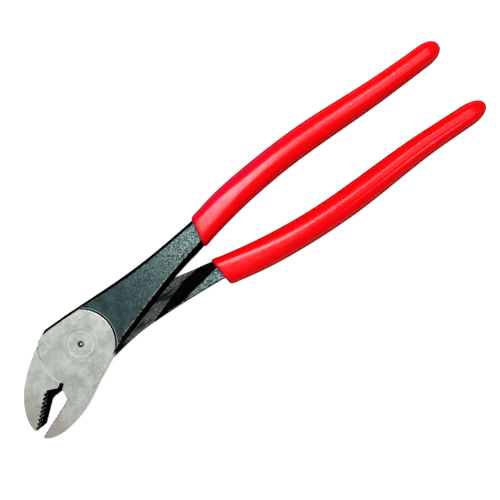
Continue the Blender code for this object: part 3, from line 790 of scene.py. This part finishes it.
def edge_look(name, finish):
    """Edges, partly rubbed to bright steel and partly painted highlight: bright round the ground
    head, a painted highlight round the base of its disc, short painted highlights on the teeth's
    ridges, a broken light line along the necks' lower edges, and a rear jaw's throat that is
    polished and painted brighter still as a highlight.
    """
    look = Look(name)
    place = look.place()
    radius, level = look.radius(place), look.level(place)
    u, across = look.along(place, ALONG_JAW), look.along(place, ACROSS_JAW)
    patches = look.noise(place, scale=0.9, detail=4.0, roughness=0.65)
    patches = look.step(patches, EDGE_PATCH_BAND)
    jaw, rim = look.step(u, JAW_U), look.step(level, RIM_LEVEL)
    # Painted highlights on the teeth's ridges, in patches
    tooth_glints = look.both(look.step(level, DASH_LOW), look.step(level, DASH_HIGH), patches)
    head = look.both(look.either(jaw, look.step(radius, DISC_RADIUS)), look.either(rim, tooth_glints))
    # A broken light line along the necks, mostly on edges that face -y
    lower = look.step(look.axis(look.normal(), "Y"), LOWER_LOOK, UPPER_LINE_SHARE, 1.0)
    neck = look.both(patches, lower, look.step(level, NECK_EDGE_LEVEL), look.unless(jaw))
    # Painted highlight on the rounded edge round the base of the disc
    foot_glint = look.both(look.step(radius, FOOT_START), look.step(radius, FOOT_END, 0.0, FOOT_GLINT))
    foot_glint = look.both(foot_glint, look.step(level, FOOT_LEVEL))
    # The rear jaw's throat: polish, painted brighter as a highlight
    throat = look.both(look.step(u, THROAT_START), look.step(u, THROAT_END))
    throat = look.both(throat, look.step(across, THROAT_ACROSS), rim)
    edge_glint_and_wear = look.either(head, neck, foot_glint)
    base = look.blend(edge_glint_and_wear, finish.black[:], finish.wear_and_glint[:])
    base = look.blend(throat, base, finish.polish_and_glint[:])
    look.set(Base_Color=look.blend(look.step(radius, BORE_RADIUS), base, finish.ground[:]))
    bright = look.both(head, look.unless(throat))
    look.set(Metallic=look.step(bright, WHOLE_BAND, 0.0, GROUND_METAL))
    look.set(Roughness=look.step(edge_glint_and_wear, WHOLE_BAND, EDGE_ROUGHNESS, WORN_ROUGHNESS))
    look.set(Specular_IOR_Level=look.math("MULTIPLY", edge_glint_and_wear, WORN_GLOSS))
    return look.material


RING_START, RING_END, RING_BAND = (4.35, 4.55), (4.9, 4.7), (0.38, 0.58)
RING_LEAST, RING_MOST = 0.25, 0.75
PUNCH_RADIUS, PUNCH_HEIGHT, PUNCH_SHADE_RADIUS = (1.25, 1.05), (5.0, 6.0), (0.35, 0.6)
RIVET_HAZE, RIVET_SMOOTH, RIVET_ROUGH = (0.3, 0.7), 0.4, 0.52


def rivet_look(name, finish):
    """The peened rivet: ground like the head, with a pale rubbed ring and painted shade on the
    walls of its punch mark.
    """
    look = Look(name)
    place = look.place()
    radius = look.radius(place)
    base = ground_colour(look, place, finish)
    rubbed = look.noise(place, scale=0.3, detail=2.0)
    rubbed = look.step(rubbed, RING_BAND, RING_LEAST, RING_MOST)
    ring = look.both(look.step(radius, RING_START), look.step(radius, RING_END), rubbed)
    base = look.blend(ring, base, finish.wear_and_glint[:])
    # Painted shade in the punch mark: its walls get the near-black and no metal, its middle stays
    # bright
    hollow = look.step(look.axis(place, "Z"), PUNCH_HEIGHT)
    hollow = look.both(look.step(radius, PUNCH_RADIUS), hollow)
    dark = look.both(hollow, look.step(radius, PUNCH_SHADE_RADIUS))
    look.set(Base_Color=look.blend(dark, base, finish.black[:]))
    haze = look.noise(place, scale=1.5)
    look.set(Roughness=look.step(haze, RIVET_HAZE, RIVET_SMOOTH, RIVET_ROUGH))
    look.set(Metallic=look.step(dark, WHOLE_BAND, GROUND_METAL, 0.0))
    return look.material


GRAIN_BAND, GRAIN_DARK, TABLE_ROUGHNESS = (0.3, 0.7), 0.99, 0.9


def table_look(name, settings):
    """Matt table, faintly uneven, white to the camera and in reflections, with a soft shadow."""
    look = Look(name)
    grain = look.step(look.noise(look.place(), scale=0.02, detail=2.0), GRAIN_BAND)
    dark = shade(settings.table, GRAIN_DARK)
    look.set(Base_Color=look.blend(grain, settings.table[:], dark))
    look.set(Roughness=TABLE_ROUGHNESS, Specular_IOR_Level=0.0)
    rays = look.node("LightPath").outputs
    seen = look.either(*(rays[f"Is {kind} Ray"] for kind in ("Camera", "Glossy", "Transmission")))
    look.set(Emission_Color=WHITE, Emission_Strength=look.math("MULTIPLY", seen, settings.glow))
    return look.material


# Levers


class SkinNodes:
    """A geometry node group under construction: each method adds a node and gives back a socket."""

    def __init__(self, name):
        self.group = bpy.data.node_groups.new(name, "GeometryNodeTree")
        for way in ("INPUT", "OUTPUT"):
            self.group.interface.new_socket(
                "Geometry", in_out=way, socket_type="NodeSocketGeometry"
            )
        self.entry = self.group.nodes.new("NodeGroupInput").outputs[0]

    def add(self, kind, inputs, output=0, **settings):
        """A new node with these settings, and with its inputs linked or set."""
        made = self.group.nodes.new(kind)
        for key, value in settings.items():
            setattr(made, key, value)
        for key, value in inputs.items():
            if isinstance(value, bpy.types.NodeSocket):
                self.group.links.new(value, made.inputs[key])
            else:
                made.inputs[key].default_value = value
        return made.outputs[output]

    def vector(self, operation, inputs, output=0):
        """One step of vector arithmetic."""
        return self.add("ShaderNodeVectorMath", inputs, output, operation=operation)

    def along(self, vector, direction):
        """The dot product of a vector with a fixed direction."""
        return self.vector("DOT_PRODUCT", {0: vector, 1: direction}, "Value")

    def above(self, value, limit):
        """Whether a value is above a limit."""
        return self.add("FunctionNodeCompare", {"A": value, "B": limit}, operation="GREATER_THAN")

    def both(self, first, second):
        """Whether two tests hold."""
        return self.add("FunctionNodeBooleanMath", {0: first, 1: second}, operation="AND")

    def choose(self, test, yes, no):
        """One number where a test holds and another where it doesn't."""
        inputs = {"Switch": test, "True": yes, "False": no}
        return self.add("GeometryNodeSwitch", inputs, input_type="FLOAT")

    def moved(self, skin, where, offset):
        """A skin with some of its points moved."""
        inputs = {"Geometry": skin, "Selection": where, "Offset": offset}
        return self.add("GeometryNodeSetPosition", inputs)

    def finish(self, skin):
        """The group, which gives this skin."""
        self.group.links.new(skin, self.group.nodes.new("NodeGroupOutput").inputs[0])
        return self.group


def joined_skin():
    """A node group that joins a packed skin's loose triangles."""
    nodes = SkinNodes("joined_skin")
    skin = {"Geometry": nodes.entry, "Name": "custom_normal"}
    skin = {"Geometry": nodes.add("GeometryNodeRemoveAttribute", skin), "Distance": JOIN_DISTANCE}
    return nodes.finish(nodes.add("GeometryNodeMergeByDistance", skin))


def closed_shoulder(nodes, skin, place):
    """Moves the jaw's shoulder, at its own radius from the rivet, in to close the joint line."""
    flat_place = nodes.vector("MULTIPLY", {0: place, 1: (1.0, 1.0, 0.0)})
    radius = nodes.vector("LENGTH", {0: flat_place}, "Value")
    near = {"A": radius, "B": SHOULDER_RADIUS, "Epsilon": SHOULDER_MARGIN}
    near = nodes.add("FunctionNodeCompare", near, operation="EQUAL")
    jaw = nodes.above(nodes.along(place, ALONG_JAW), SHOULDER_START)
    inwards = {0: flat_place, "Scale": -JOINT_PLAY / SHOULDER_RADIUS}
    return nodes.moved(skin, nodes.both(near, jaw), nodes.vector("SCALE", inwards))


def sloped_necks(nodes, skin, place):
    """Moves the necks' front edges along y, to show more or less of their dark sides.

    Both of the front neck's edges move in, the lower one by more towards the grip. The rear neck's
    lower edge moves out.
    """
    x, z = nodes.along(place, (1.0, 0.0, 0.0)), nodes.along(place, (0.0, 0.0, 1.0))
    edges = nodes.both(nodes.above(z, NECK_LEVEL), nodes.above(x, NECK_START))
    front = nodes.above(nodes.along(place, (-NECK_DIVIDE_SLOPE, 1.0, 0.0)), NECK_DIVIDE)
    looks_up = nodes.along(nodes.add("GeometryNodeInputNormal", {}), (0.0, 1.0, 0.0))
    names = ("From Min", "From Max", "To Min", "To Max")
    ends = dict(zip(names, FRONT_LOWER_X + FRONT_LOWER_MOVE))
    lower = nodes.add("ShaderNodeMapRange", {"Value": x, **ends})
    front_move = nodes.choose(nodes.above(looks_up, 0.0), FRONT_UPPER_MOVE, lower)
    rear_move = nodes.choose(nodes.above(looks_up, REAR_LOWER_LOOK), 0.0, REAR_LOWER_MOVE)
    move = {"Y": nodes.choose(front, front_move, rear_move)}
    return nodes.moved(skin, edges, nodes.add("ShaderNodeCombineXYZ", move))


def fitted_skin():
    """A node group that moves a few edges of a lever, and shades it smooth except across edges."""
    nodes = SkinNodes("fitted_skin")
    place = nodes.add("GeometryNodeInputPosition", {})
    skin = closed_shoulder(nodes, nodes.entry, place)
    skin = sloped_necks(nodes, skin, place)
    skin = nodes.add("GeometryNodeSetShadeSmooth", {"Geometry": skin})
    angle = nodes.add("GeometryNodeInputMeshEdgeAngle", {}, "Unsigned Angle")
    soft = {"A": angle, "B": SHARP_ANGLE}
    soft = {"Shade Smooth": nodes.add("FunctionNodeCompare", soft, operation="LESS_THAN")}
    skin = nodes.add("GeometryNodeSetShadeSmooth", {"Geometry": skin, **soft}, domain="EDGE")
    return nodes.finish(skin)


# Stage


def table_mesh():
    """A flat grid of TABLE_POINTS by TABLE_POINTS points just under the pliers."""
    reach = np.linspace(-TABLE_REACH, TABLE_REACH, TABLE_POINTS)
    x, y = np.meshgrid(reach, reach)
    points = np.stack([x, y, np.full_like(x, TABLE_HEIGHT)], axis=-1).reshape(-1, 3)
    index = np.arange(x.size).reshape(x.shape)
    quads = [index[:-1, :-1], index[:-1, 1:], index[1:, 1:], index[1:, :-1]]
    mesh = bpy.data.meshes.new("table")
    mesh.from_pydata(points, [], np.stack(quads, axis=-1).reshape(-1, 4).tolist())
    return mesh


def soft_light(name, watts, size, where, aim):
    """A rectangular lamp that looks at a point."""
    lamp = bpy.data.lights.new(name, "AREA")
    lamp.shape = "RECTANGLE"
    lamp.size, lamp.size_y = size
    lamp.energy = watts
    light = add_object(name, lamp)
    back = np.subtract(where, aim)
    tilt = math.acos(back[2] / np.linalg.norm(back))
    light.rotation_euler = (tilt, 0.0, math.atan2(back[0], -back[1]))
    light.location = where


def even_light(strength):
    """A plain white world."""
    world = bpy.data.worlds.new("studio")
    world.use_nodes = True
    sky = world.node_tree.nodes["Background"]
    sky.inputs["Color"].default_value = (*WHITE, 1.0)
    sky.inputs["Strength"].default_value = strength
    return world


def overhead_camera(lens):
    """A camera that looks straight down, turned about Z."""
    data = bpy.data.cameras.new("camera")
    data.sensor_width = SENSOR_WIDTH
    data.lens = lens
    data.clip_start, data.clip_end = CAMERA_CLIP
    camera = add_object("camera", data)
    camera.location = CAMERA_PLACE
    camera.rotation_euler = (0.0, 0.0, CAMERA_TURN)
    return camera


# Operators


class FinishLevers(Operator):
    """Rounds the edges of both forged levers and gives them their steel"""

    bl_idname = "pliers.finish_levers"
    bl_label = "Finish levers"

    def execute(self, context):
        finish = context.scene.pliers_steel
        # Edges: rubbed steel and painted highlights
        wear_and_glint = edge_look("worn_edge", finish)
        joined, fitted = joined_skin(), fitted_skin()
        for name, side in (("front_lever", 1), ("rear_lever", -1)):
            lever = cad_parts[name]
            lever.data.materials.clear()
            lever.data.materials.append(lever_look(name + "_steel", finish, side))
            lever.data.materials.append(wear_and_glint)
            lever.modifiers.new("joined", "NODES").node_group = joined
            # Faces are made whole before their edges move, because slivers would fold over
            planar = lever.modifiers.new("planar", "DECIMATE")
            planar.decimate_type = "DISSOLVE"
            planar.angle_limit = FLAT_ANGLE
            lever.modifiers.new("fitted", "NODES").node_group = fitted
            rounded = lever.modifiers.new("rounded", "BEVEL")
            rounded.limit_method = "ANGLE"
            rounded.angle_limit = SHARP_ANGLE
            rounded.offset_type = "WIDTH"
            rounded.width = finish.edge
            rounded.segments = ROUND_SEGMENTS
            rounded.use_clamp_overlap = False
            rounded.harden_normals = True
            rounded.material = EDGE_SLOT
        return {"FINISHED"}


class MakeRivet(Operator):
    """Turns the peened rivet that holds the lap joint"""

    bl_idname = "pliers.make_rivet"
    bl_label = "Make rivet"

    def execute(self, context):
        rings, poles = rivet_rings(context.scene.pliers_rivet)
        rivet = ring_mesh("peened_rivet", rings, *poles)
        outward(rivet)
        rivet.data.set_sharp_from_angle(angle=RIVET_SHARP)
        rivet.data.materials.append(rivet_look("rivet_steel", context.scene.pliers_steel))
        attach(rivet, "front")
        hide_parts("joint_rivet")
        return {"FINISHED"}


class MakeGrips(Operator):
    """Draws the two dipped vinyl grips over the handles"""

    bl_idname = "pliers.make_grips"
    bl_label = "Make grips"

    def execute(self, context):
        scene = context.scene
        vinyl = vinyl_look("dipped_vinyl", scene.pliers_vinyl)
        places = (("front", 1, scene.pliers_front_grip), ("rear", -1, scene.pliers_rear_grip))
        for body, side, place in places:
            rings, poles, rim = grip_rings(scene.pliers_grips, place, side)
            grip = ring_mesh(body + "_dipped_grip", rings, *poles)
            outward(grip)
            grip.data.attributes.new(LIP_SHADE, "FLOAT", "POINT").data.foreach_set("value", rim)
            grip.data.materials.append(vinyl)
            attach(grip, body)
            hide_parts(body + "_lever_grip")
        return {"FINISHED"}


class MakeStage(Operator):
    """Lays the white table, hangs the soft lights and sets the camera straight above"""

    bl_idname = "pliers.make_stage"
    bl_label = "Make stage"

    def execute(self, context):
        scene, settings = context.scene, context.scene.pliers_stage
        table = add_object("table", table_mesh())
        table.data.materials.append(table_look("white_table", settings))
        for name, (size, where, aim) in LAMPS.items():
            soft_light(name + "_light", getattr(settings, name), size, where, aim)
        scene.world = even_light(settings.sky)
        scene.camera = overhead_camera(settings.lens)
        scene.view_settings.view_transform = "Standard"
        return {"FINISHED"}


class PliersPanel(Panel):
    """Lists the steps that dress the pliers"""

    bl_idname = "VIEW3D_PT_pliers"
    bl_label = "Pliers"
    bl_space_type = "VIEW_3D"
    bl_region_type = "UI"
    bl_category = "Pliers"

    def draw(self, context):
        for step in STEPS:
            self.layout.operator(step.bl_idname)


STEPS = (FinishLevers, MakeRivet, MakeGrips, MakeStage)
SETTINGS = {
    "pliers_grips": GripSizes,
    "pliers_front_grip": GripMouth,
    "pliers_rear_grip": GripMouth,
    "pliers_vinyl": VinylFinish,
    "pliers_steel": SteelFinish,
    "pliers_rivet": RivetSizes,
    "pliers_stage": StageSettings,
}
GROUPS = (GripSizes, GripMouth, VinylFinish, SteelFinish, RivetSizes, StageSettings)
CLASSES = (*GROUPS, *STEPS, PliersPanel)


def register():
    for item in CLASSES:
        bpy.utils.register_class(item)
    for name, group in SETTINGS.items():
        setattr(bpy.types.Scene, name, PointerProperty(type=group))


def unregister():
    for name in SETTINGS:
        delattr(bpy.types.Scene, name)
    for item in reversed(CLASSES):
        bpy.utils.unregister_class(item)


def main():
    register()
    for name, value in REAR_GRIP.items():
        setattr(bpy.context.scene.pliers_rear_grip, name, value)
    bpy.ops.pliers.finish_levers()
    bpy.ops.pliers.make_rivet()
    bpy.ops.pliers.make_grips()
    bpy.ops.pliers.make_stage()


if __name__ == "__main__":
    main()
